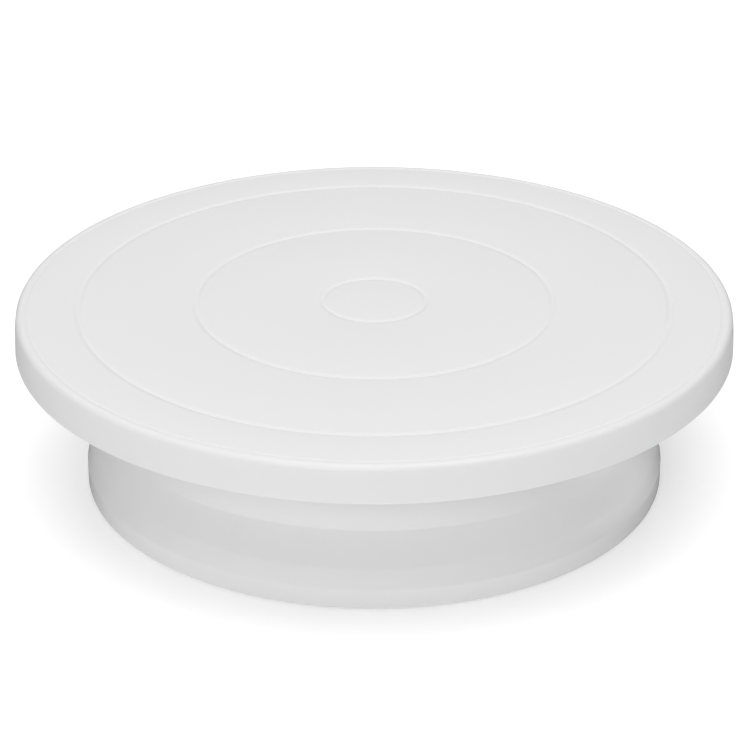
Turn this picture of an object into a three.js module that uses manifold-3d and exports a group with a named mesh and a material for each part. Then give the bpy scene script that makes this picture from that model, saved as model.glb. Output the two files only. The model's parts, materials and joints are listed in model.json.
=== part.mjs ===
// A cake turntable: a round plastic plate that spins on a thrust ball bearing in the top of a flared base.
// Millimetres, +Z up. The origin is on the spin axis, in the plane that the six rubber feet stand on.

import * as THREE from "three";
import { mergeVertices } from "three/addons/utils/BufferGeometryUtils.js";
import Module from "manifold-3d";

const wasm = await Module();
wasm.setup();

// Driving dimensions of the whole object.
const PLATE_DIAMETER = 280;
const OVERALL_HEIGHT = 73;
const BASE_DIAMETER = 228;
const FIT_GAP = 0.3;
const RUNNING_GAP = 0.15;

// The thrust bearing.
const BALL_COUNT = 12;
const BALL_RADIUS = 3;
const PITCH_RADIUS = 46;
const BALL_HEIGHT = 65;

// The feet, and the ribs and posts that hold them.
const FOOT_COUNT = 6;
const FOOT_CIRCLE_RADIUS = 98;
const RIM_LIFT = 0.6;

// Facets in a full turn.
const BIG_ROUND = 72;
const RACE_ROUND = 48;
const SMALL_ROUND = 24;
const FOOT_ROUND = 16;

const WELD_DISTANCE = 1e-4;
const EMBED = 0.8;
const TURN = 2 * Math.PI;

// ---- Outlines and solids ----

// A profile is a list of [radius, height] points, anticlockwise: out along the underside, back over the top.
function arc([centreRadius, centreHeight], radius, fromDegrees, toDegrees, steps) {
  const points = [];
  for (let step = 0; step <= steps; step += 1) {
    const angle = THREE.MathUtils.degToRad(fromDegrees + ((toDegrees - fromDegrees) * step) / steps);
    points.push([centreRadius + radius * Math.cos(angle), centreHeight + radius * Math.sin(angle)]);
  }
  return points;
}

// A solid of revolution whose profile starts and ends on the axis.
function turned(profile, rounds) {
  const points = profile.map(([radius, height]) => new THREE.Vector2(radius, height));
  return new THREE.LatheGeometry(points, rounds).rotateX(Math.PI / 2);
}

// A ring: its profile closes on itself.
function turnedRing(profile, rounds) {
  return turned([...profile, profile[0]], rounds);
}

function disc(radius, low, high, rounds) {
  return turned([[0, low], [radius, low], [radius, high], [0, high]], rounds);
}

// A flat web standing on the axis at the given angle, from its outline of [radius, height] points.
function web(outline, thickness, angle) {
  const shape = new THREE.Shape(outline.map(([radius, height]) => new THREE.Vector2(radius, height)));
  const slab = new THREE.ExtrudeGeometry(shape, { depth: thickness, bevelEnabled: false });
  slab.translate(0, 0, -thickness / 2);
  slab.rotateX(Math.PI / 2);
  return slab.rotateZ(angle);
}

// The closed solid that a closed geometry bounds.
function solidOf(geometry) {
  const bare = geometry.clone();
  bare.deleteAttribute("normal");
  bare.deleteAttribute("uv");
  const merged = mergeVertices(bare, WELD_DISTANCE);
  const corners = merged.index.array;
  const triangles = [];
  for (let first = 0; first < corners.length; first += 3) {
    const [a, b, c] = corners.slice(first, first + 3);
    if (a !== b && b !== c && c !== a) {
      triangles.push(a, b, c);
    }
  }
  const vertProperties = new Float32Array(merged.attributes.position.array);
  return new wasm.Manifold(new wasm.Mesh({ numProp: 3, vertProperties, triVerts: new Uint32Array(triangles) }));
}

// The first geometry joined with some others, with a last group cut away.
function combine(body, added, removed) {
  let solid = solidOf(body);
  for (const geometry of added) {
    solid = solid.add(solidOf(geometry));
  }
  for (const geometry of removed) {
    solid = solid.subtract(solidOf(geometry));
  }
  const { vertProperties, triVerts } = solid.getMesh();
  const result = new THREE.BufferGeometry();
  result.setAttribute("position", new THREE.BufferAttribute(vertProperties, 3));
  result.setIndex(new THREE.BufferAttribute(triVerts, 1));
  result.computeVertexNormals();
  return result;
}

// Angles of a number of things spaced evenly round the axis.
function evenAngles(count, first = 0) {
  return Array.from({ length: count }, (_, index) => first + (TURN * index) / count);
}

// ---- Materials ----

const satinWhite = () => new THREE.MeshStandardMaterial({ color: 0xededed, roughness: 0.42, metalness: 0 });
const glossWhite = () => new THREE.MeshStandardMaterial({ color: 0xe4e4e4, roughness: 0.2, metalness: 0 });
const pressedSteel = () => new THREE.MeshStandardMaterial({ color: 0xb4b6b8, roughness: 0.35, metalness: 1 });
const ballSteel = () => new THREE.MeshStandardMaterial({ color: 0xd8dadc, roughness: 0.08, metalness: 1 });
const nylon = () => new THREE.MeshStandardMaterial({ color: 0xd9d4c4, roughness: 0.5, metalness: 0 });
const greyRubber = () => new THREE.MeshStandardMaterial({ color: 0x8c8c8c, roughness: 0.85, metalness: 0 });

const turntable = new THREE.Group();

function addPiece(name, geometry, material) {
  const piece = new THREE.Mesh(geometry, material);
  piece.name = name;
  turntable.add(piece);
  return piece;
}

// ---- Heights of the bearing stack ----

const RACE_HALF_WIDTH = 4.5;
const RACE_THICKNESS = 0.7;
const RACE_LIP = 0.83;
const BALL_PLAY = 0.03;
const grooveRadius = 1.1 * BALL_RADIUS;
const raceInner = PITCH_RADIUS - RACE_HALF_WIDTH;
const raceOuter = PITCH_RADIUS + RACE_HALF_WIDTH;
const grooveBottom = BALL_HEIGHT - BALL_RADIUS - BALL_PLAY;
const raceBottom = grooveBottom - RACE_THICKNESS;
const raceLand = grooveBottom + RACE_LIP;
const deckTop = raceBottom - FIT_GAP;
const seatHeight = 2 * BALL_HEIGHT - deckTop;

// The lower race's profile; the upper race is its mirror image in the plane of the ball centres.
function lowerRaceProfile() {
  const grooveCentre = [PITCH_RADIUS, grooveBottom + grooveRadius];
  const halfAngle = THREE.MathUtils.radToDeg(Math.acos((grooveRadius - RACE_LIP) / grooveRadius));
  return [
    [raceInner, raceBottom],
    [raceOuter, raceBottom],
    [raceOuter, raceLand],
    ...arc(grooveCentre, grooveRadius, halfAngle - 90, -halfAngle - 90, 4),
    [raceInner, raceLand],
  ];
}

function mirrored(profile) {
  return profile.map(([radius, height]) => [radius, 2 * BALL_HEIGHT - height]).reverse();
}

// Two low ridges that hold a race ring in place, on the deck or, mirrored, under the plate.
function raceLocator() {
  const RIDGE = 1.6;
  const ridgeTop = deckTop + 1.2;
  return [
    [raceInner - FIT_GAP - RIDGE, deckTop - EMBED],
    [raceOuter + FIT_GAP + RIDGE, deckTop - EMBED],
    [raceOuter + FIT_GAP + RIDGE, ridgeTop],
    [raceOuter + FIT_GAP, ridgeTop],
    [raceOuter + FIT_GAP, deckTop],
    [raceInner - FIT_GAP, deckTop],
    [raceInner - FIT_GAP, ridgeTop],
    [raceInner - FIT_GAP - RIDGE, ridgeTop],
  ];
}

// ---- The spindle stack on the axis ----

const SPINDLE_RADIUS = 5;
const SPINDLE_SOCKET = 4.2;
const HUB_RADIUS = 12;
const BUSH_RADIUS = 7;
const BUSH_FLANGE_RADIUS = 10.5;
const SCREW_RADIUS = 2.2;
const hubBottom = 44;
const spindleTop = OVERALL_HEIGHT - SPINDLE_SOCKET - FIT_GAP;
const spindleBottom = hubBottom - FIT_GAP;

// ---- The plate ----

const PLATE_WALL = 2.6;
const SKIRT_DEPTH = 14.5;
const SKIRT_WALL = 2.4;
const SKIRT_DRAFT = 0.6;
const EDGE_FILLET = 2.4;
const EDGE_DRAFT = 0.9;
const EDGE_SHOULDER = { draft: 0.25, depth: 6 };
const GROOVE_RADII = [115.2, 69.5, 20];
const GROOVE_HALF_WIDTH = 1.5;
const GROOVE_DEPTH = 0.4;
const PLATE_RIBS = 12;
const PLATE_RIB_DEPTH = 4;
const RIB_THICKNESS = 1.8;
const HOOP_RIB_RADIUS = 92;

const plateRadius = PLATE_DIAMETER / 2;
const plateUnderside = OVERALL_HEIGHT - PLATE_WALL;
const skirtBottom = OVERALL_HEIGHT - SKIRT_DEPTH;
const skirtInner = plateRadius - SKIRT_DRAFT - SKIRT_WALL;

// A shallow round-bottomed groove in the plate's top, from its outer lip to its inner lip.
function topGroove(radius) {
  return [
    [radius + GROOVE_HALF_WIDTH, OVERALL_HEIGHT],
    [radius, OVERALL_HEIGHT - GROOVE_DEPTH],
    [radius - GROOVE_HALF_WIDTH, OVERALL_HEIGHT],
  ];
}

function plateProfile() {
  const INNER_FILLET = 2.5;
  const LIP_CHAMFER = 0.5;
  const filletCentre = [plateRadius - EDGE_DRAFT - EDGE_FILLET, OVERALL_HEIGHT - EDGE_FILLET];
  return [
    [0, plateUnderside],
    ...arc([skirtInner - INNER_FILLET, plateUnderside - INNER_FILLET], INNER_FILLET, 90, 0, 2),
    [skirtInner + SKIRT_DRAFT, skirtBottom],
    [plateRadius - LIP_CHAMFER, skirtBottom],
    [plateRadius, skirtBottom + LIP_CHAMFER],
    [plateRadius - EDGE_SHOULDER.draft, OVERALL_HEIGHT - EDGE_SHOULDER.depth],
    ...arc(filletCentre, EDGE_FILLET, 0, 90, 3),
    ...GROOVE_RADII.flatMap(topGroove),
    [0, OVERALL_HEIGHT],
  ];
}

function plateGeometry() {
  const ribBottom = plateUnderside - PLATE_RIB_DEPTH;
  const ribTop = plateUnderside + EMBED;
  const ribOutline = [
    [raceOuter + 1, ribBottom],
    [skirtInner + EMBED, ribBottom],
    [skirtInner + EMBED, ribTop - EMBED - 1],
    [skirtInner - 1, ribTop],
    [raceOuter + 1, ribTop],
  ];
  const innerOutline = [
    [HUB_RADIUS - 2, ribBottom],
    [raceInner - 1, ribBottom],
    [raceInner - 1, ribTop],
    [HUB_RADIUS - 2, ribTop],
  ];
  const hoopRib = [
    [HOOP_RIB_RADIUS - RIB_THICKNESS / 2, ribBottom],
    [HOOP_RIB_RADIUS + RIB_THICKNESS / 2, ribBottom],
    [HOOP_RIB_RADIUS + RIB_THICKNESS / 2, ribTop],
    [HOOP_RIB_RADIUS - RIB_THICKNESS / 2, ribTop],
  ];
  const seat = [
    [raceInner - 2, seatHeight],
    [raceOuter + 2, seatHeight],
    [raceOuter + 2, ribTop],
    [raceInner - 2, ribTop],
  ];
  const ribAngles = evenAngles(PLATE_RIBS, TURN / PLATE_RIBS / 2);
  const hub = disc(HUB_RADIUS - 1, deckTop + 2, ribTop, SMALL_ROUND);
  const socket = disc(SPINDLE_RADIUS + FIT_GAP, deckTop, spindleTop + FIT_GAP, SMALL_ROUND);
  return combine(
    turned(plateProfile(), BIG_ROUND),
    [
      turnedRing(hoopRib, BIG_ROUND),
      turnedRing(seat, RACE_ROUND),
      turnedRing(mirrored(raceLocator()), RACE_ROUND),
      hub,
      ...ribAngles.map((angle) => web(ribOutline, RIB_THICKNESS, angle)),
      ...ribAngles.map((angle) => web(innerOutline, RIB_THICKNESS, angle)),
    ],
    [socket],
  );
}

addPiece("turntable_plate", plateGeometry(), satinWhite());
addPiece("upper_race_ring", turnedRing(mirrored(lowerRaceProfile()), RACE_ROUND), pressedSteel());

// ---- The spindle, its washer and its screw, which turn with the plate ----

function spindleGeometry() {
  const CHAMFER = 0.5;
  const tappedRadius = SCREW_RADIUS + FIT_GAP;
  const tappedTop = spindleBottom + 10;
  return turned([
    [0, tappedTop],
    [tappedRadius, tappedTop],
    [tappedRadius, spindleBottom],
    [SPINDLE_RADIUS - CHAMFER, spindleBottom],
    [SPINDLE_RADIUS, spindleBottom + CHAMFER],
    [SPINDLE_RADIUS, spindleTop - CHAMFER],
    [SPINDLE_RADIUS - CHAMFER, spindleTop],
    [0, spindleTop],
  ], SMALL_ROUND);
}

const WASHER_THICKNESS = 1.5;
const washerTop = spindleBottom - FIT_GAP;
const washerBottom = washerTop - WASHER_THICKNESS;

function washerGeometry() {
  const WASHER_RADIUS = 9.5;
  const holeRadius = SCREW_RADIUS + 2 * FIT_GAP;
  return turnedRing([
    [holeRadius, washerBottom],
    [WASHER_RADIUS, washerBottom],
    [WASHER_RADIUS, washerTop],
    [holeRadius, washerTop],
  ], SMALL_ROUND);
}

// A pan-head screw with a cross recess, pointing up.
function screwGeometry() {
  const HEAD_RADIUS = 4.75;
  const HEAD_HEIGHT = 3;
  const SHANK_LENGTH = 10;
  const SLOT = [1.2, 5, 3.2];
  const headTop = washerBottom - FIT_GAP;
  const headBottom = headTop - HEAD_HEIGHT;
  const shankTop = headTop + SHANK_LENGTH;
  const body = turned([
    [0, headBottom],
    [HEAD_RADIUS * 0.55, headBottom + 0.2],
    [HEAD_RADIUS * 0.88, headBottom + 0.9],
    [HEAD_RADIUS, headBottom + 1.8],
    [HEAD_RADIUS, headTop],
    [SCREW_RADIUS, headTop],
    [SCREW_RADIUS, shankTop - 0.4],
    [SCREW_RADIUS - 0.4, shankTop],
    [0, shankTop],
  ], SMALL_ROUND);
  const slot = () => new THREE.BoxGeometry(...SLOT).translate(0, 0, headBottom);
  return combine(body, [], [slot(), slot().rotateZ(TURN / 4)]);
}

addPiece("spindle", spindleGeometry(), pressedSteel());
addPiece("retaining_washer", washerGeometry(), pressedSteel());
addPiece("retaining_screw", screwGeometry(), pressedSteel());

// ---- The base ----

const BASE_WALL = 2.4;
const NECK_RADIUS = 109.2;
const NECK_DRAFT = 0.6;
const CREASE_HEIGHT = 30.8;
const SHOULDER_FILLET = 4;
const BASE_RIB_DEPTH = 12;
const POST_RADIUS = 6;
const POST_BOTTOM = 3.3;
const POST_BORE_TOP = 40;
const FOOT_STEM_RADIUS = 3.6;

const baseRadius = BASE_DIAMETER / 2;
const deckUnderside = deckTop - BASE_WALL;
const neckTopRadius = NECK_RADIUS - NECK_DRAFT;

// The outer wall from the rim up to the neck's top: a foot band, a ledge, a flaring cone and an upright neck.
function wallProfile(inset) {
  return [
    [baseRadius - inset, RIM_LIFT],
    [baseRadius - inset, 8.6],
    [baseRadius - 0.4 - inset, 10.4],
    [baseRadius - 1.6 - inset, 16.6],
    [NECK_RADIUS + 1 - inset, CREASE_HEIGHT - 6.3],
    [NECK_RADIUS - inset, CREASE_HEIGHT],
    [neckTopRadius - inset, deckTop - SHOULDER_FILLET],
  ];
}

function shellProfile() {
  const innerFillet = SHOULDER_FILLET - BASE_WALL;
  const outerCentre = [neckTopRadius - SHOULDER_FILLET, deckTop - SHOULDER_FILLET];
  return [
    [0, deckUnderside],
    ...arc(outerCentre, innerFillet, 90, 0, 1),
    ...wallProfile(BASE_WALL).slice(0, -1).reverse(),
    ...wallProfile(0).slice(0, -1),
    ...arc(outerCentre, SHOULDER_FILLET, 0, 90, 3),
    [0, deckTop],
  ];
}

// A web under the deck from the hub to a foot's post, and from there down inside the wall.
function footWeb(angle) {
  const WEB_BOTTOM = 8;
  const middle = wallProfile(BASE_WALL / 2);
  const webTop = deckUnderside + EMBED;
  const [, footBand, ledge, shoulder, flare, crease, neckTop] = middle;
  return web([
    [HUB_RADIUS - 2, webTop],
    [HUB_RADIUS - 2, deckUnderside - BASE_RIB_DEPTH],
    [FOOT_CIRCLE_RADIUS, deckUnderside - BASE_RIB_DEPTH],
    [FOOT_CIRCLE_RADIUS, WEB_BOTTOM],
    [footBand[0], WEB_BOTTOM],
    ledge,
    shoulder,
    flare,
    crease,
    neckTop,
    [neckTop[0] - SHOULDER_FILLET, webTop],
  ], RIB_THICKNESS, angle);
}

function atFoot(geometry, angle) {
  return geometry.translate(FOOT_CIRCLE_RADIUS, 0, 0).rotateZ(angle);
}

const footAngles = evenAngles(FOOT_COUNT);

function baseGeometry() {
  const post = () => disc(POST_RADIUS, POST_BOTTOM, deckUnderside + EMBED, FOOT_ROUND);
  const postBore = () => disc(FOOT_STEM_RADIUS + FIT_GAP, 0, POST_BORE_TOP, FOOT_ROUND);
  const hub = disc(HUB_RADIUS, hubBottom, deckUnderside + EMBED, SMALL_ROUND);
  const hubBore = disc(BUSH_RADIUS + FIT_GAP, 0, OVERALL_HEIGHT, SMALL_ROUND);
  return combine(
    turned(shellProfile(), BIG_ROUND),
    [
      turnedRing(raceLocator(), RACE_ROUND),
      hub,
      ...footAngles.map((angle) => atFoot(post(), angle)),
      ...footAngles.map(footWeb),
    ],
    [hubBore, ...footAngles.map((angle) => atFoot(postBore(), angle))],
  );
}

addPiece("base_shell", baseGeometry(), glossWhite());
addPiece("lower_race_ring", turnedRing(lowerRaceProfile(), RACE_ROUND), pressedSteel());

// The flanged bush that the spindle turns in.
function bushGeometry() {
  const FLANGE_THICKNESS = 1.1;
  const boreRadius = SPINDLE_RADIUS + RUNNING_GAP;
  const flangeBottom = deckTop + FIT_GAP;
  return turnedRing([
    [boreRadius, hubBottom],
    [BUSH_RADIUS, hubBottom],
    [BUSH_RADIUS, flangeBottom],
    [BUSH_FLANGE_RADIUS, flangeBottom],
    [BUSH_FLANGE_RADIUS, flangeBottom + FLANGE_THICKNESS],
    [boreRadius, flangeBottom + FLANGE_THICKNESS],
  ], SMALL_ROUND);
}

addPiece("spindle_bush", bushGeometry(), nylon());

// A push-in rubber foot: a round pad with a stem that plugs into its post.
function footGeometry() {
  const PAD_RADIUS = 7;
  const PAD_EDGE = 0.8;
  const STEM_TOP = 11;
  const padTop = POST_BOTTOM - FIT_GAP;
  return turned([
    [0, 0],
    [PAD_RADIUS - PAD_EDGE, 0],
    [PAD_RADIUS, PAD_EDGE],
    [PAD_RADIUS, padTop],
    [FOOT_STEM_RADIUS, padTop],
    [FOOT_STEM_RADIUS, STEM_TOP],
    [0, STEM_TOP],
  ], FOOT_ROUND);
}

footAngles.forEach((angle, index) => {
  addPiece(`rubber_foot_${index + 1}`, atFoot(footGeometry(), angle), greyRubber());
});

// ---- The ball cage and its balls ----

const ballAngles = evenAngles(BALL_COUNT);

// A flat ring with a round pocket for each ball.
function cageGeometry() {
  const THICKNESS = 2;
  const HALF_WIDTH = 4.2;
  const POCKET_GAP = 0.25;
  const POCKET_ROUND = 6;
  const ring = new THREE.Shape().absarc(0, 0, PITCH_RADIUS + HALF_WIDTH, 0, TURN);
  const hole = (x, y, radius) => new THREE.Path().absarc(x, y, radius, 0, TURN, true);
  const circles = [new THREE.Path(hole(0, 0, PITCH_RADIUS - HALF_WIDTH).getPoints(RACE_ROUND / 2))];
  for (const angle of ballAngles) {
    const [x, y] = [PITCH_RADIUS * Math.cos(angle), PITCH_RADIUS * Math.sin(angle)];
    circles.push(new THREE.Path(hole(x, y, BALL_RADIUS + POCKET_GAP).getPoints(POCKET_ROUND)));
  }
  const outline = new THREE.Shape(ring.getPoints(RACE_ROUND / 2));
  outline.holes.push(...circles);
  const flat = new THREE.ExtrudeGeometry(outline, { depth: THICKNESS, bevelEnabled: false });
  return flat.translate(0, 0, BALL_HEIGHT - THICKNESS / 2);
}

addPiece("ball_cage", cageGeometry(), nylon());

ballAngles.forEach((angle, index) => {
  const number = String(index + 1).padStart(2, "0");
  const ball = addPiece(`ball_${number}`, new THREE.IcosahedronGeometry(BALL_RADIUS, 1), ballSteel());
  ball.position.set(PITCH_RADIUS * Math.cos(angle), PITCH_RADIUS * Math.sin(angle), BALL_HEIGHT);
  ball.rotation.z = angle;
});

export default turntable;
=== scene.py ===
"""A white cake turntable at rest on a pale floor, in soft studio light.

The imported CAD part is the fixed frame. Each of its nodes is replaced by a finely turned piece in the same
place, which rides on the same body. Outlines are in millimetres, and meshes are scaled to metres.
"""

import json
import math

import bmesh
import bpy
from mathutils import Matrix, Vector

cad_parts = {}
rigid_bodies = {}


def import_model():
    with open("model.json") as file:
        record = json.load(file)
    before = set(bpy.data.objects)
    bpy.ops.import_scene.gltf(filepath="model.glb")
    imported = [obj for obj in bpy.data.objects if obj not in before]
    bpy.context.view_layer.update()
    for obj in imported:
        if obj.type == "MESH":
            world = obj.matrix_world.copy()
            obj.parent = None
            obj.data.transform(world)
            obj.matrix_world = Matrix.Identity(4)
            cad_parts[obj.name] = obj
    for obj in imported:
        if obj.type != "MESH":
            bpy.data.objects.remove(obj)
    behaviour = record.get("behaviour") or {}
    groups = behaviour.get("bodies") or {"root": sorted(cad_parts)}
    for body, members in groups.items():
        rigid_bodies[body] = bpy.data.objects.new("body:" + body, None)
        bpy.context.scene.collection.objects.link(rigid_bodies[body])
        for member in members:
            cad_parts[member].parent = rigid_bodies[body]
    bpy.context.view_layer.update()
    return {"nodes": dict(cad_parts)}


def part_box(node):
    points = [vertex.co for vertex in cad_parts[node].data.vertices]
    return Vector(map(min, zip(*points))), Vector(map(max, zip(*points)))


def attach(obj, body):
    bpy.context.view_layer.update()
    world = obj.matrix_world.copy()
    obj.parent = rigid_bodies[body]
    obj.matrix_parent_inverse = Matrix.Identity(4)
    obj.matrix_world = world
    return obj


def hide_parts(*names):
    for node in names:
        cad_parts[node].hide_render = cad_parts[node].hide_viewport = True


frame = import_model()

MM = 0.001
TURN = 2 * math.pi


def box_mm(node):
    """A CAD node's lowest and highest corner, in millimetres."""
    low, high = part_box(node)
    return low / MM, high / MM


# ---- Driving sizes, in millimetres ----

PLATE_LOW, PLATE_HIGH = box_mm("turntable_plate")
BASE_LOW, BASE_HIGH = box_mm("base_shell")
CAGE_LOW, CAGE_HIGH = box_mm("ball_cage")
LOWER_RACE_LOW, LOWER_RACE_HIGH = box_mm("lower_race_ring")
_, UPPER_RACE_HIGH = box_mm("upper_race_ring")

FIT_GAP = 0.3
TOP = PLATE_HIGH.z
PLATE_RADIUS = PLATE_HIGH.x
SKIRT_BOTTOM = PLATE_LOW.z
PLATE_WALL = 2.6
UNDERSIDE = TOP - PLATE_WALL
SKIRT_WALL = 2.4
SKIRT_DRAFT = 0.6
EDGE_FILLET = 2.4
EDGE_DRAFT = 0.9
EDGE_SHOULDER_DRAFT = 0.25
EDGE_SHOULDER_DEPTH = 6.0
GROOVE_HALF_WIDTH = 1.6
GROOVE_DEPTH = 0.42
SCRIBED_HALF_WIDTH = 0.6
SCRIBED_DEPTH = 0.22
GROOVES = (
    (135.3, SCRIBED_HALF_WIDTH, SCRIBED_DEPTH),
    (115.2, GROOVE_HALF_WIDTH, GROOVE_DEPTH),
    (69.5, GROOVE_HALF_WIDTH, GROOVE_DEPTH),
    (20.0, GROOVE_HALF_WIDTH, GROOVE_DEPTH),
)

BALLS = [node for node in frame["nodes"] if node.startswith("ball_") and node != "ball_cage"]
BALL_HEIGHT = (CAGE_LOW.z + CAGE_HIGH.z) / 2
BALL_RADIUS = 3.0
PITCH_RADIUS = 46.0
RACE_HALF_WIDTH = 4.5
RACE_THICKNESS = 0.7
RACE_INNER = PITCH_RADIUS - RACE_HALF_WIDTH
RACE_OUTER = PITCH_RADIUS + RACE_HALF_WIDTH
RIDGE = 1.6

RIM_HEIGHT = BASE_LOW.z
BASE_RADIUS = BASE_HIGH.x
BASE_WALL = 2.4
RIDGE_HEIGHT = 1.2
DECK_TOP = BASE_HIGH.z - RIDGE_HEIGHT
DECK_UNDERSIDE = DECK_TOP - BASE_WALL
FOOT_BAND_TOP = 8.6
LEDGE_HEIGHT = 10.4
LEDGE_SET_BACK = 0.4
FLARE_HEIGHT = 16.6
FLARE_SET_BACK = 1.6
FLARE_TOP_HEIGHT = 24.5
FLARE_TOP_RADIUS = 110.2
CREASE_HEIGHT = 30.8
NECK_RADIUS = 109.2
NECK_TOP_RADIUS = 108.6
HUB_RADIUS = 12.0
HUB_BOTTOM = 44.0
BUSH_RADIUS = 7.0
SPINDLE_RADIUS = 5.0
RIB = 1.8
PLATE_RIBS = 12
PLATE_RIB_DEPTH = 4.0
HOOP_RIB_RADIUS = 92.0
FEET = [node for node in frame["nodes"] if node.startswith("rubber_foot_")]
FOOT_CIRCLE = 98.0
FOOT_STEM = 3.6
FOOT_PAD = 7.0
POST_RADIUS = 6.0
POST_BOTTOM = 3.3
POST_BORE_TOP = 40.0

# Faces in a full turn, and steps along a ball or a groove.
PLATE_SEGMENTS = 360
RACE_SEGMENTS = 192
PIN_SEGMENTS = 144
WASHER_SEGMENTS = 96
SMALL_SEGMENTS = 72
BORE_SEGMENTS = 48
BALL_STEPS = 24
GROOVE_STEPS = 16

ARC_STEP = math.radians(9)
SHARP_ANGLE = math.radians(35)


# ---- Outlines ----

def rounded(corners, closed=False):
    """An outline of points from (radius, height, fillet) corners. The ends of an open outline stay sharp."""
    points = []
    last = len(corners) - 1
    for index, (radius, height, fillet) in enumerate(corners):
        here = Vector((radius, height))
        if fillet == 0 or (not closed and index in (0, last)):
            points.append(here)
            continue
        before = Vector(corners[index - 1][:2]) - here
        after = Vector(corners[(index + 1) % len(corners)][:2]) - here
        half_angle = before.angle(after) / 2
        reach = fillet / math.tan(half_angle)
        middle = (before.normalized() + after.normalized()).normalized()
        centre = here + middle * (fillet / math.sin(half_angle))
        start = here + before.normalized() * reach - centre
        end = here + after.normalized() * reach - centre
        first = math.atan2(start.y, start.x)
        sweep = (math.atan2(end.y, end.x) - first + math.pi) % TURN - math.pi
        steps = max(2, math.ceil(abs(sweep) / ARC_STEP))
        for step in range(steps + 1):
            angle = first + sweep * step / steps
            points.append(centre + fillet * Vector((math.cos(angle), math.sin(angle))))
    return points


def half_circle(radius, height):
    """The outline of a ball whose centre is on the axis."""
    tilts = [math.pi * (step / BALL_STEPS - 0.5) for step in range(BALL_STEPS + 1)]
    return [Vector((radius * math.cos(tilt), height + radius * math.sin(tilt))) for tilt in tilts]


# ---- Meshes ----

def shade(mesh):
    """Smooth shading, with edges over 35 degrees left sharp."""
    mesh.shade_smooth()
    mesh.set_sharp_from_angle(angle=SHARP_ANGLE)


def finish_mesh(name, build):
    """A smooth-shaded object from a bmesh in millimetres."""
    bmesh.ops.recalc_face_normals(build, faces=build.faces)
    build.transform(Matrix.Scale(MM, 4))
    mesh = bpy.data.meshes.new(name)
    build.to_mesh(mesh)
    build.free()
    shade(mesh)
    made = bpy.data.objects.new(name, mesh)
    bpy.context.scene.collection.objects.link(made)
    return made


def revolve(outline, segments, closed=False, relief=None):
    """A bmesh of revolution from an anticlockwise outline. relief(angle, point) is added to the radius."""
    build = bmesh.new()
    rows = []
    for point in outline:
        if point.x < 1e-6:
            rows.append([build.verts.new((0, 0, point.y))] * segments)
            continue
        row = []
        for step in range(segments):
            angle = TURN * step / segments
            radius = point.x + (relief(angle, point) if relief else 0)
            row.append(build.verts.new((radius * math.cos(angle), radius * math.sin(angle), point.y)))
        rows.append(row)
    pairs = list(zip(rows, rows[1:]))
    if closed:
        pairs.append((rows[-1], rows[0]))
    for low, high in pairs:
        for step in range(segments):
            following = (step + 1) % segments
            corners = [low[step], low[following], high[following], high[step]]
            distinct = list(dict.fromkeys(corners))
            if len(distinct) > 2:
                build.faces.new(distinct)
    return build


def web(outline, thickness, angle):
    """A flat upright web at an angle about the axis, with slightly rounded edges."""
    build = bmesh.new()
    half = thickness / 2
    near = [build.verts.new((point.x, -half, point.y)) for point in outline]
    far = [build.verts.new((point.x, half, point.y)) for point in outline]
    build.faces.new(near)
    build.faces.new(far[::-1])
    for index, corner in enumerate(near):
        following = (index + 1) % len(near)
        build.faces.new((near[following], corner, far[index], far[following]))
    bmesh.ops.recalc_face_normals(build, faces=build.faces)
    edges = [edge for edge in build.edges if edge.calc_face_angle(0) > math.radians(40)]
    bmesh.ops.bevel(build, geom=edges, offset=0.3, segments=2, affect="EDGES", profile=0.6)
    build.transform(Matrix.Rotation(angle, 4, "Z"))
    return build


def moved(build, offset, angle=0.0):
    """The same bmesh shifted, then turned about the axis."""
    build.transform(Matrix.Rotation(angle, 4, "Z") @ Matrix.Translation(offset))
    return build


def combined(body, tools, operation):
    """The body object joined with, or cut by, a list of bmeshes."""
    cutters = bpy.data.collections.new("cutters")
    for number, build in enumerate(tools):
        tool = finish_mesh(f"cutter_{number}", build)
        bpy.context.scene.collection.objects.unlink(tool)
        cutters.objects.link(tool)
    modifier = body.modifiers.new("combine", "BOOLEAN")
    modifier.operation = operation
    modifier.solver = "MANIFOLD"
    modifier.operand_type = "COLLECTION"
    modifier.collection = cutters
    evaluated = body.evaluated_get(bpy.context.evaluated_depsgraph_get())
    mesh = bpy.data.meshes.new_from_object(evaluated)
    body.modifiers.clear()
    body.data = mesh
    shade(mesh)
    for tool in list(cutters.objects):
        bpy.data.objects.remove(tool)
    bpy.data.collections.remove(cutters)
    return body


def cylinder(radius, low, high):
    outline = [Vector((0, low)), Vector((radius, low)), Vector((radius, high)), Vector((0, high))]
    return revolve(outline, BORE_SEGMENTS)


def angles(count, first=0.0):
    """Evenly spaced angles round a full turn."""
    return [first + TURN * index / count for index in range(count)]


# ---- Node-based materials ----

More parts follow.
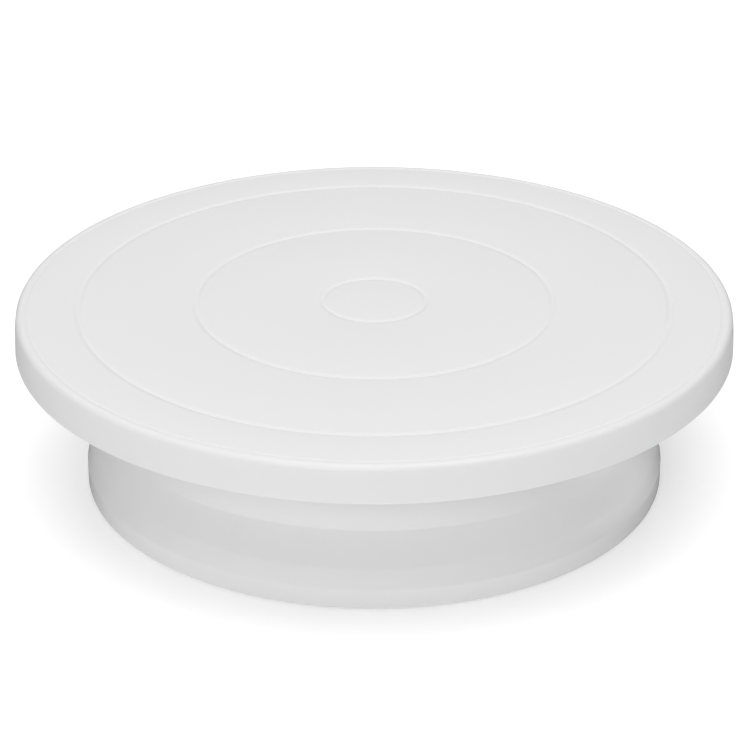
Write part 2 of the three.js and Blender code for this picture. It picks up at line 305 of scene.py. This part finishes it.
class Shader:
    """A material's node tree, with short ways to add the nodes that these materials share."""

    def __init__(self, name, slot=None):
        self.material = bpy.data.materials.new(name)
        self.material["slot"] = slot or ""
        self.material.use_nodes = True
        self.tree = self.material.node_tree
        self.surface = self.tree.nodes["Principled BSDF"]
        self.place = self.tree.nodes.new("ShaderNodeTexCoord").outputs["Object"]

    def link(self, source, target):
        self.tree.links.new(source, target)

    def noise(self, scale, detail=3.0, roughness=0.5, place=None):
        """Noise from 0 to 1, which mostly stays between 0.3 and 0.7."""
        node = self.tree.nodes.new("ShaderNodeTexNoise")
        node.inputs["Scale"].default_value = scale
        node.inputs["Detail"].default_value = detail
        node.inputs["Roughness"].default_value = roughness
        self.link(place or self.place, node.inputs["Vector"])
        return node.outputs["Fac"]

    def ramp(self, noise, low, high):
        """A number between low and high that follows a noise over its usual range."""
        node = self.tree.nodes.new("ShaderNodeMapRange")
        node.inputs["From Min"].default_value = 0.3
        node.inputs["From Max"].default_value = 0.7
        node.inputs["To Min"].default_value = low
        node.inputs["To Max"].default_value = high
        self.link(noise, node.inputs["Value"])
        return node.outputs["Result"]

    def mix(self, factor, first, second):
        """A colour between two others."""
        node = self.tree.nodes.new("ShaderNodeMix")
        node.data_type = "RGBA"
        node.inputs["A"].default_value = (*first, 1)
        node.inputs["B"].default_value = (*second, 1)
        self.link(factor, node.inputs["Factor"])
        return node.outputs["Result"]

    def rings(self, scale):
        """Fine lathe marks: noise that depends only on the distance from the axis and the height."""
        parts = self.tree.nodes.new("ShaderNodeSeparateXYZ")
        self.link(self.place, parts.inputs["Vector"])
        flat = self.tree.nodes.new("ShaderNodeCombineXYZ")
        self.link(parts.outputs["X"], flat.inputs["X"])
        self.link(parts.outputs["Y"], flat.inputs["Y"])
        length = self.tree.nodes.new("ShaderNodeVectorMath")
        length.operation = "LENGTH"
        self.link(flat.outputs["Vector"], length.inputs[0])
        polar = self.tree.nodes.new("ShaderNodeCombineXYZ")
        self.link(length.outputs["Value"], polar.inputs["X"])
        self.link(parts.outputs["Z"], polar.inputs["Y"])
        return self.noise(scale, detail=4.0, place=polar.outputs["Vector"])

    def fade(self, half_width, half_depth):
        """One in the inner part of an ellipse, falling smoothly to nothing at its edge."""
        squash = self.tree.nodes.new("ShaderNodeMapping")
        squash.vector_type = "POINT"
        squash.inputs["Scale"].default_value = (1 / half_width, 1 / half_depth, 1)
        self.link(self.place, squash.inputs["Vector"])
        length = self.tree.nodes.new("ShaderNodeVectorMath")
        length.operation = "LENGTH"
        self.link(squash.outputs["Vector"], length.inputs[0])
        falloff = self.tree.nodes.new("ShaderNodeMapRange")
        falloff.interpolation_type = "SMOOTHSTEP"
        falloff.inputs["From Min"].default_value = 0.3
        falloff.inputs["To Min"].default_value = 1.0
        falloff.inputs["To Max"].default_value = 0.0
        self.link(length.outputs["Value"], falloff.inputs["Value"])
        return falloff.outputs["Result"]

    def bump(self, height, distance, strength):
        """A normal for a surface as deep as the distance, in metres."""
        node = self.tree.nodes.new("ShaderNodeBump")
        node.inputs["Strength"].default_value = strength
        node.inputs["Distance"].default_value = distance
        self.link(height, node.inputs["Height"])
        return node.outputs["Normal"]

    def set(self, **values):
        """Values the same all over, set on the shader's own sockets."""
        for words, value in values.items():
            self.surface.inputs[words.replace("_", " ")].default_value = value


def white_plastic(slot, light, dark, roughness, grain):
    """Moulded white plastic: faint flow shading, a fine mould texture and lightly handled gloss."""
    shader = Shader(f"{slot}_finish", slot)
    flow = shader.noise(7.0, detail=4.0)
    tone = shader.mix(flow, (dark, dark, dark), (light, light, light))
    shader.link(tone, shader.surface.inputs["Base Color"])
    handled = shader.noise(45.0, detail=5.0, roughness=0.6)
    shader.link(shader.ramp(handled, roughness - 0.03, roughness + 0.03), shader.surface.inputs["Roughness"])
    fine = shader.bump(shader.noise(1600.0, detail=1.0), 0.00002, grain)
    shader.link(fine, shader.surface.inputs["Normal"])
    shader.set(IOR=1.49)
    return shader.material


def turned_steel(slot, light, dark, roughness):
    """Steel with lathe marks round the axis and a thin uneven film of grease."""
    shader = Shader(f"{slot}_finish", slot)
    marks = shader.rings(1500.0)
    shader.link(shader.mix(marks, dark, light), shader.surface.inputs["Base Color"])
    film = shader.noise(180.0, detail=5.0)
    shader.link(shader.ramp(film, roughness - 0.08, roughness + 0.1), shader.surface.inputs["Roughness"])
    shader.link(shader.bump(marks, 0.00001, 0.5), shader.surface.inputs["Normal"])
    shader.set(Metallic=1.0)
    return shader.material


def polished_steel(slot):
    """The balls: ground and polished, with only the faintest wear."""
    shader = Shader(f"{slot}_finish", slot)
    wear = shader.noise(900.0, detail=5.0)
    shader.link(shader.mix(wear, (0.72, 0.73, 0.75), (0.8, 0.81, 0.83)), shader.surface.inputs["Base Color"])
    shader.link(shader.ramp(wear, 0.05, 0.14), shader.surface.inputs["Roughness"])
    shader.set(Metallic=1.0)
    return shader.material


def natural_nylon(slot):
    """Natural nylon: creamy and slightly cloudy, with a fine moulded texture."""
    shader = Shader(f"{slot}_finish", slot)
    cloud = shader.noise(70.0, detail=4.0)
    shader.link(shader.mix(cloud, (0.7, 0.66, 0.56), (0.76, 0.73, 0.64)), shader.surface.inputs["Base Color"])
    shader.link(shader.ramp(cloud, 0.4, 0.5), shader.surface.inputs["Roughness"])
    shader.link(shader.bump(shader.noise(1800.0), 0.00002, 0.3), shader.surface.inputs["Normal"])
    return shader.material


def grey_rubber(slot):
    """Soft grey rubber with a dusty bloom and a fine matt texture."""
    shader = Shader(f"{slot}_finish", slot)
    bloom = shader.noise(260.0, detail=5.0, roughness=0.65)
    shader.link(shader.mix(bloom, (0.22, 0.22, 0.22), (0.31, 0.31, 0.3)), shader.surface.inputs["Base Color"])
    shader.link(shader.ramp(bloom, 0.72, 0.9), shader.surface.inputs["Roughness"])
    shader.link(shader.bump(shader.noise(3200.0), 0.00003, 0.5), shader.surface.inputs["Normal"])
    return shader.material


# The base's tone is set a little lighter than the plate's. This is a painted lift that makes up for the shade
# under the plate's overhang, not a difference in the plastics' own colour; their difference in gloss is their
# own.
PLATE_PLASTIC = white_plastic("plate_plastic", light=0.785, dark=0.775, roughness=0.34, grain=0.2)
BASE_PLASTIC_PAINTED_LIGHTER = white_plastic("base_plastic", light=0.815, dark=0.805, roughness=0.16, grain=0.06)
RACE_STEEL = turned_steel("race_steel", (0.62, 0.62, 0.63), (0.5, 0.5, 0.51), 0.38)
PIN_STEEL = turned_steel("pin_steel", (0.6, 0.6, 0.62), (0.46, 0.46, 0.48), 0.38)
BALL_STEEL = polished_steel("ball_steel")
NYLON = natural_nylon("nylon")
RUBBER = grey_rubber("rubber")


def fit(piece, node, body, material):
    """Puts a finished piece in a CAD node's place. A material knows its slot in the record."""
    piece.data.materials.clear()
    piece.data.materials.append(material)
    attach(piece, body)
    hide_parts(node)
    return piece


# ---- The plate ----

def groove_corners(radius, half_width, depth):
    """A shallow round-bottomed ring groove in the top, from its outer lip inwards."""
    return [
        (radius + half_width, TOP, half_width / 2),
        (radius, TOP - depth, half_width * 0.75),
        (radius - half_width, TOP, half_width / 2),
    ]


def race_seat_corners():
    """The seat and ridges that hold the upper race, from the hub outwards."""
    seat = UPPER_RACE_HIGH.z + FIT_GAP
    ridge_bottom = seat - RIDGE_HEIGHT
    return [
        (RACE_INNER - FIT_GAP - RIDGE, UNDERSIDE, 0.6),
        (RACE_INNER - FIT_GAP - RIDGE, ridge_bottom, 0.4),
        (RACE_INNER - FIT_GAP, ridge_bottom, 0.3),
        (RACE_INNER - FIT_GAP, seat, 0.2),
        (RACE_OUTER + FIT_GAP, seat, 0.2),
        (RACE_OUTER + FIT_GAP, ridge_bottom, 0.3),
        (RACE_OUTER + FIT_GAP + RIDGE, ridge_bottom, 0.4),
        (RACE_OUTER + FIT_GAP + RIDGE, UNDERSIDE, 0.6),
    ]


def plate_moulding():
    """The plate: its ribbed disc, hub, race seat, turned-down skirt and ringed top."""
    rib_bottom = UNDERSIDE - PLATE_RIB_DEPTH
    hoop_inner = HOOP_RIB_RADIUS - RIB / 2
    hoop_outer = HOOP_RIB_RADIUS + RIB / 2
    socket = SPINDLE_RADIUS + FIT_GAP
    socket_top = TOP - 4.2
    hub = HUB_RADIUS - 1
    hub_bottom = DECK_TOP + 2
    skirt_inner = PLATE_RADIUS - SKIRT_DRAFT - SKIRT_WALL
    outline = [
        (0, socket_top, 0),
        (socket, socket_top, 0.3),
        (socket, hub_bottom, 0.4),
        (hub, hub_bottom, 0.6),
        (hub, UNDERSIDE, 1.2),
        *race_seat_corners(),
        (hoop_inner, UNDERSIDE, 0.8),
        (hoop_inner, rib_bottom, 0.4),
        (hoop_outer, rib_bottom, 0.4),
        (hoop_outer, UNDERSIDE, 0.8),
        (skirt_inner, UNDERSIDE, 2.5),
        (skirt_inner + SKIRT_DRAFT, SKIRT_BOTTOM, 0.8),
        (PLATE_RADIUS, SKIRT_BOTTOM, 0.4),
        (PLATE_RADIUS - EDGE_SHOULDER_DRAFT, TOP - EDGE_SHOULDER_DEPTH, 20),
        (PLATE_RADIUS - EDGE_DRAFT, TOP, EDGE_FILLET),
    ]
    for radius, half_width, depth in GROOVES:
        outline += groove_corners(radius, half_width, depth)
    outline.append((0, TOP, 0))
    body = finish_mesh("plate_moulding", revolve(rounded(outline), PLATE_SEGMENTS))
    rib_top = UNDERSIDE + 1.0
    outer_rib = rounded([
        (RACE_OUTER + 1, rib_bottom, 0),
        (skirt_inner + 1, rib_bottom, 0),
        (skirt_inner + 1, rib_top - 2, 0),
        (skirt_inner - 2, rib_top, 0),
        (RACE_OUTER + 1, rib_top, 0),
    ])
    inner_rib = rounded([
        (hub - 1, rib_bottom, 0),
        (RACE_INNER - 1, rib_bottom, 0),
        (RACE_INNER - 1, rib_top, 0),
        (hub - 1, rib_top, 0),
    ])
    ribs = [web(rib, RIB, angle)
            for angle in angles(PLATE_RIBS, TURN / PLATE_RIBS / 2)
            for rib in (outer_rib, inner_rib)]
    return combined(body, ribs, "UNION")


fit(plate_moulding(), "turntable_plate", "plate", PLATE_PLASTIC)


# ---- The base ----

def wall_corners(inset):
    """The flared wall from the rim up to the neck's top, at a depth inside its outer face."""
    return [
        (BASE_RADIUS - inset, RIM_HEIGHT, 0.8),
        (BASE_RADIUS - inset, FOOT_BAND_TOP, 1.5),
        (BASE_RADIUS - LEDGE_SET_BACK - inset, LEDGE_HEIGHT, 0.8),
        (BASE_RADIUS - FLARE_SET_BACK - inset, FLARE_HEIGHT, 12),
        (FLARE_TOP_RADIUS - inset, FLARE_TOP_HEIGHT, 60),
        (NECK_RADIUS - inset, CREASE_HEIGHT, 0.4),
        (NECK_TOP_RADIUS - inset, DECK_TOP, 4.0 - inset),
    ]


def foot_web(angle):
    """A web under the deck from the hub to a foot's post, and from the post down inside the wall."""
    web_bottom = 8.0
    rib_bottom = DECK_UNDERSIDE - 12.0
    web_top = DECK_UNDERSIDE + 1.0
    middle = [corner[:2] for corner in wall_corners(BASE_WALL / 2)]
    _, band, _, flare, flare_top, crease, neck = middle
    corners = [
        (HUB_RADIUS - 2, rib_bottom),
        (FOOT_CIRCLE, rib_bottom),
        (FOOT_CIRCLE, web_bottom),
        (band[0] - 0.2, web_bottom),
        flare,
        flare_top,
        crease,
        (neck[0], web_top - 4),
        (neck[0] - 4, web_top),
        (HUB_RADIUS - 2, web_top),
    ]
    return web([Vector(corner) for corner in corners], RIB, angle)


def base_moulding():
    """The base: its flared wall, deck with the race's seat, hub, webs and bored posts for the feet."""
    bore = BUSH_RADIUS + FIT_GAP
    ridge_top = DECK_TOP + RIDGE_HEIGHT
    outline = [
        (bore, HUB_BOTTOM, 0.4),
        (HUB_RADIUS, HUB_BOTTOM, 0.6),
        (HUB_RADIUS, DECK_UNDERSIDE, 1.2),
        (NECK_TOP_RADIUS - BASE_WALL, DECK_UNDERSIDE, 1.6),
        *reversed(wall_corners(BASE_WALL)[:-1]),
        *wall_corners(0),
        (RACE_OUTER + FIT_GAP + RIDGE, DECK_TOP, 0.6),
        (RACE_OUTER + FIT_GAP + RIDGE, ridge_top, 0.4),
        (RACE_OUTER + FIT_GAP, ridge_top, 0.3),
        (RACE_OUTER + FIT_GAP, DECK_TOP, 0.2),
        (RACE_INNER - FIT_GAP, DECK_TOP, 0.2),
        (RACE_INNER - FIT_GAP, ridge_top, 0.3),
        (RACE_INNER - FIT_GAP - RIDGE, ridge_top, 0.4),
        (RACE_INNER - FIT_GAP - RIDGE, DECK_TOP, 0.6),
        (bore, DECK_TOP, 0.4),
    ]
    body = finish_mesh("base_moulding", revolve(rounded(outline, closed=True), PLATE_SEGMENTS, closed=True))
    post_outline = rounded([
        (0, POST_BOTTOM, 0),
        (POST_RADIUS, POST_BOTTOM, 0.5),
        (POST_RADIUS, DECK_UNDERSIDE + 1, 0),
        (0, DECK_UNDERSIDE + 1, 0),
    ])
    spots = angles(len(FEET))
    centre = Vector((FOOT_CIRCLE, 0, 0))
    posts = [moved(revolve(post_outline, BORE_SEGMENTS), centre, angle) for angle in spots]
    combined(body, posts + [foot_web(angle) for angle in spots], "UNION")
    bores = [moved(cylinder(FOOT_STEM + FIT_GAP, 0, POST_BORE_TOP), centre, angle) for angle in spots]
    return combined(body, bores, "DIFFERENCE")


fit(base_moulding(), "base_shell", "base", BASE_PLASTIC_PAINTED_LIGHTER)


def foot(node, angle):
    """A push-in foot: a pad with two grip rings in its sole, and a stem in its post."""
    low, high = box_mm(node)
    pad_top = POST_BOTTOM - FIT_GAP
    outline = [(0, low.z, 0)]
    for radius in (2.4, 4.4):
        outline += [
            (radius - 0.5, low.z, 0.1),
            (radius - 0.3, low.z + 0.4, 0.15),
            (radius + 0.3, low.z + 0.4, 0.15),
            (radius + 0.5, low.z, 0.1),
        ]
    outline += [
        (FOOT_PAD, low.z, 0.9),
        (FOOT_PAD, pad_top, 0.5),
        (FOOT_STEM, pad_top, 0.3),
        (FOOT_STEM, high.z, 0.8),
        (0, high.z, 0),
    ]
    build = moved(revolve(rounded(outline), SMALL_SEGMENTS), Vector((FOOT_CIRCLE, 0, 0)), angle)
    fit(finish_mesh(f"foot_pad_{node[-1]}", build), node, "base", RUBBER)


for node, angle in zip(sorted(FEET), angles(len(FEET))):
    foot(node, angle)


# ---- The bearing ----

def race_outline(flip):
    """A pressed race with a rolled groove for the balls; flip mirrors it in the plane of their centres."""
    bottom = LOWER_RACE_LOW.z
    land = LOWER_RACE_HIGH.z
    groove_radius = 1.1 * BALL_RADIUS
    groove_height = bottom + RACE_THICKNESS + groove_radius
    half_angle = math.acos((groove_height - land) / groove_radius)
    outline = rounded([
        (RACE_INNER, land, 0),
        (RACE_INNER, bottom, 0.3),
        (RACE_OUTER, bottom, 0.3),
        (RACE_OUTER, land, 0),
    ])
    for step in range(GROOVE_STEPS + 1):
        angle = half_angle * (1 - 2 * step / GROOVE_STEPS)
        radius = PITCH_RADIUS + groove_radius * math.sin(angle)
        outline.append(Vector((radius, groove_height - groove_radius * math.cos(angle))))
    if flip:
        outline = [Vector((point.x, 2 * BALL_HEIGHT - point.y)) for point in reversed(outline)]
    return outline


def race(name, node, body, flip):
    build = revolve(race_outline(flip), RACE_SEGMENTS, closed=True)
    fit(finish_mesh(name, build), node, body, RACE_STEEL)


race("lower_race", "lower_race_ring", "base", flip=False)
race("upper_race", "upper_race_ring", "plate", flip=True)


def cage():
    """A flat ring with a round pocket for each ball."""
    half_width = 4.2
    inner = PITCH_RADIUS - half_width
    outer = PITCH_RADIUS + half_width
    outline = rounded([
        (inner, CAGE_LOW.z, 0.4),
        (outer, CAGE_LOW.z, 0.4),
        (outer, CAGE_HIGH.z, 0.4),
        (inner, CAGE_HIGH.z, 0.4),
    ], closed=True)
    body = finish_mesh("cage_ring", revolve(outline, RACE_SEGMENTS, closed=True))
    centre = Vector((PITCH_RADIUS, 0, 0))
    pockets = [moved(cylinder(BALL_RADIUS + 0.25, CAGE_LOW.z - 1, CAGE_HIGH.z + 1), centre, angle)
               for angle in angles(len(BALLS))]
    return combined(body, pockets, "DIFFERENCE")


fit(cage(), "ball_cage", "cage", NYLON)

for node in BALLS:
    low, high = box_mm(node)
    centre = (low + high) / 2
    spot = Vector((centre.x, centre.y, 0)).normalized() * PITCH_RADIUS
    build = moved(revolve(half_circle(BALL_RADIUS, BALL_HEIGHT), BORE_SEGMENTS), spot)
    fit(finish_mesh(f"steel_{node}", build), node, node, BALL_STEEL)


# ---- The spindle stack ----

def spindle():
    """The steel pin, serrated where it is pressed into the plate's hub."""
    low, high = box_mm("spindle")
    serration_low = DECK_TOP + 3.5

    def serrations(angle, point):
        pressed = serration_low < point.y < high.z - 0.6 and point.x > SPINDLE_RADIUS - 0.1
        return -0.12 * abs(math.sin(18 * angle)) if pressed else 0

    tapped = 2.5
    tapped_depth = 10
    outline = rounded([
        (0, low.z + tapped_depth, 0),
        (tapped, low.z + tapped_depth, 0.2),
        (tapped, low.z, 0.2),
        (SPINDLE_RADIUS, low.z, 0.5),
        (SPINDLE_RADIUS, serration_low - 0.1, 0),
        (SPINDLE_RADIUS, serration_low + 0.1, 0),
        (SPINDLE_RADIUS, high.z, 0.5),
        (0, high.z, 0),
    ])
    return finish_mesh("spindle_pin", revolve(outline, PIN_SEGMENTS, relief=serrations))


def washer():
    low, high = box_mm("retaining_washer")
    hole = 2.8
    outline = rounded([
        (hole, low.z, 0.15),
        (high.x, low.z, 0.15),
        (high.x, high.z, 0.35),
        (hole, high.z, 0.15),
    ], closed=True)
    return finish_mesh("washer", revolve(outline, WASHER_SEGMENTS, closed=True))


def screw():
    """A pan-head screw with a rolled thread and a cross recess."""
    low, high = box_mm("retaining_screw")
    head_top = low.z + 3.0
    shank = 2.2
    pitch = 0.8
    thread_depth = 0.35

    def thread(angle, point):
        if point.x > shank + 0.1 or not head_top + 0.8 < point.y < high.z - 0.5:
            return 0
        phase = (point.y / pitch - angle / TURN) % 1
        return -thread_depth * abs(2 * phase - 1)

    head = rounded([
        (0, low.z, 0),
        (4.0, low.z + 0.1, 1.6),
        (high.x, head_top, 0.3),
        (shank, head_top, 0.2),
    ])
    outline = head[:-1]
    rows = 90
    shank_bottom = head_top + 0.05
    shank_top = high.z - 0.4
    for row in range(rows + 1):
        outline.append(Vector((shank, shank_bottom + (shank_top - shank_bottom) * row / rows)))
    outline += [Vector((shank - 0.4, high.z)), Vector((0, high.z))]
    body = finish_mesh("screw", revolve(outline, SMALL_SEGMENTS, relief=thread))
    recess_top = low.z + 1.7
    corners = [(-2.5, low.z - 1), (2.5, low.z - 1), (1.7, recess_top), (-1.7, recess_top)]
    recess = [Vector(corner) for corner in corners]
    slots = [web(recess, 1.1, angle) for angle in (0, TURN / 4)]
    return combined(body, slots, "DIFFERENCE")


def bush():
    low, high = box_mm("spindle_bush")
    bore = SPINDLE_RADIUS + 0.15
    flange_bottom = DECK_TOP + FIT_GAP
    outline = rounded([
        (bore, low.z, 0.3),
        (BUSH_RADIUS, low.z, 0.4),
        (BUSH_RADIUS, flange_bottom, 0.2),
        (high.x, flange_bottom, 0.2),
        (high.x, high.z, 0.3),
        (bore, high.z, 0.3),
    ], closed=True)
    return finish_mesh("flanged_bush", revolve(outline, WASHER_SEGMENTS, closed=True))


fit(spindle(), "spindle", "plate", PIN_STEEL)
fit(washer(), "retaining_washer", "plate", PIN_STEEL)
fit(screw(), "retaining_screw", "plate", PIN_STEEL)
fit(bush(), "spindle_bush", "base", NYLON)


# ---- The floor, the light and the camera ----

LAMP_AIM = Vector((0, 0, 0.05))


def sheet(name, width, depth, place, glow, fading=False):
    """A flat sheet of faintly mottled paper, facing up. A fading one glows only towards its middle."""
    build = bmesh.new()
    bmesh.ops.create_grid(build, x_segments=8, y_segments=8, size=0.5)
    build.transform(Matrix.Diagonal((width / MM, depth / MM, 1, 1)))
    made = finish_mesh(name, build)
    made.location = place
    shader = Shader(f"{name}_paper")
    tone = shader.mix(shader.noise(3.0, detail=3.0), (0.95, 0.95, 0.95), (0.97, 0.97, 0.97))
    shader.link(tone, shader.surface.inputs["Base Color"])
    light = shader.fade(width / 2, depth / 2) if fading else tone
    shader.link(light, shader.surface.inputs["Emission Color"])
    shader.set(Roughness=0.9, Emission_Strength=glow)
    made.data.materials.append(shader.material)
    return made


def seen_by(made, camera=False, diffuse=False, gloss=False, shadow=False):
    """Leaves a sheet visible only to these kinds of ray."""
    made.visible_camera = camera
    made.visible_diffuse = diffuse
    made.visible_glossy = gloss
    made.visible_shadow = shadow


def stage():
    """White paper on a floor. Gloss sees a dark table with two white cards beside the base instead."""
    seen_by(sheet("paper", 8.0, 8.0, (0, 0, -0.0001), 0.25), camera=True)
    seen_by(sheet("floor", 8.0, 8.0, (0, 0, -0.0003), 0.16), diffuse=True, shadow=True)
    seen_by(sheet("card", 0.34, 0.26, (-0.02, -0.13, -0.0005), 1.4, fading=True), gloss=True)
    seen_by(sheet("side_card", 0.1, 0.16, (0.165, -0.04, -0.0004), 0.8, fading=True), gloss=True)
    seen_by(sheet("table", 8.0, 8.0, (0, 0, -0.001), 0.02), gloss=True)


def backdrop():
    """A pale round wall behind the paper's far edge, which only the camera sees."""
    radius = 3.9 / MM
    height = 4.0 / MM
    wall = finish_mesh("backdrop", revolve([Vector((radius, 0)), Vector((radius, height))], RACE_SEGMENTS))
    shader = Shader("backdrop_paper")
    tone = shader.mix(shader.noise(1.5, detail=3.0), (0.93, 0.93, 0.93), (0.97, 0.97, 0.97))
    shader.link(tone, shader.surface.inputs["Base Color"])
    shader.link(tone, shader.surface.inputs["Emission Color"])
    shader.set(Roughness=0.9, Emission_Strength=0.6)
    wall.data.materials.append(shader.material)
    seen_by(wall, camera=True)


def softbox(name, place, size, watts):
    """A soft rectangular lamp, aimed at the middle of the turntable."""
    data = bpy.data.lights.new(name, "AREA")
    data.shape = "RECTANGLE"
    data.size, data.size_y = size
    data.energy = watts
    lamp = bpy.data.objects.new(name, data)
    lamp.location = place
    lamp.rotation_mode = "QUATERNION"
    lamp.rotation_quaternion = (LAMP_AIM - Vector(place)).to_track_quat("-Z", "Y")
    bpy.context.scene.collection.objects.link(lamp)


def world():
    """A pale surround, brighter overhead than at the horizon."""
    surround = bpy.data.worlds.new("studio")
    surround.use_nodes = True
    tree = surround.node_tree
    background = tree.nodes["Background"]
    direction = tree.nodes.new("ShaderNodeTexCoord")
    parts = tree.nodes.new("ShaderNodeSeparateXYZ")
    grade = tree.nodes.new("ShaderNodeMapRange")
    grade.inputs["From Min"].default_value = 0.0
    grade.inputs["From Max"].default_value = 0.8
    grade.inputs["To Min"].default_value = 0.08
    grade.inputs["To Max"].default_value = 1.0
    tree.links.new(direction.outputs["Generated"], parts.inputs["Vector"])
    tree.links.new(parts.outputs["Z"], grade.inputs["Value"])
    tree.links.new(grade.outputs["Result"], background.inputs["Color"])
    background.inputs["Strength"].default_value = 0.84
    bpy.context.scene.world = surround


def camera():
    """The photograph's view: from 26 degrees above, 1.18 m from the middle of the turntable."""
    distance = 1.183
    elevation = math.radians(26.13)
    target = Vector((0.0003, 0, 0.0404))
    data = bpy.data.cameras.new("camera")
    data.sensor_width = 36
    data.lens = 143.8
    view = bpy.data.objects.new("camera", data)
    back = Vector((0, -math.cos(elevation), math.sin(elevation)))
    view.location = target + back * distance
    view.rotation_mode = "QUATERNION"
    view.rotation_quaternion = (-back).to_track_quat("-Z", "Y")
    bpy.context.scene.collection.objects.link(view)
    bpy.context.scene.camera = view


stage()
backdrop()
world()
softbox("overhead", (0, -0.2, 1.7), (1.6, 1.2), 10.0)
softbox("front", (-0.45, -2.0, 1.0), (1.0, 0.8), 8.7)
softbox("back", (0, 1.3, 1.3), (1.8, 0.8), 1.2)
camera()
bpy.context.scene.view_settings.view_transform = "Standard"
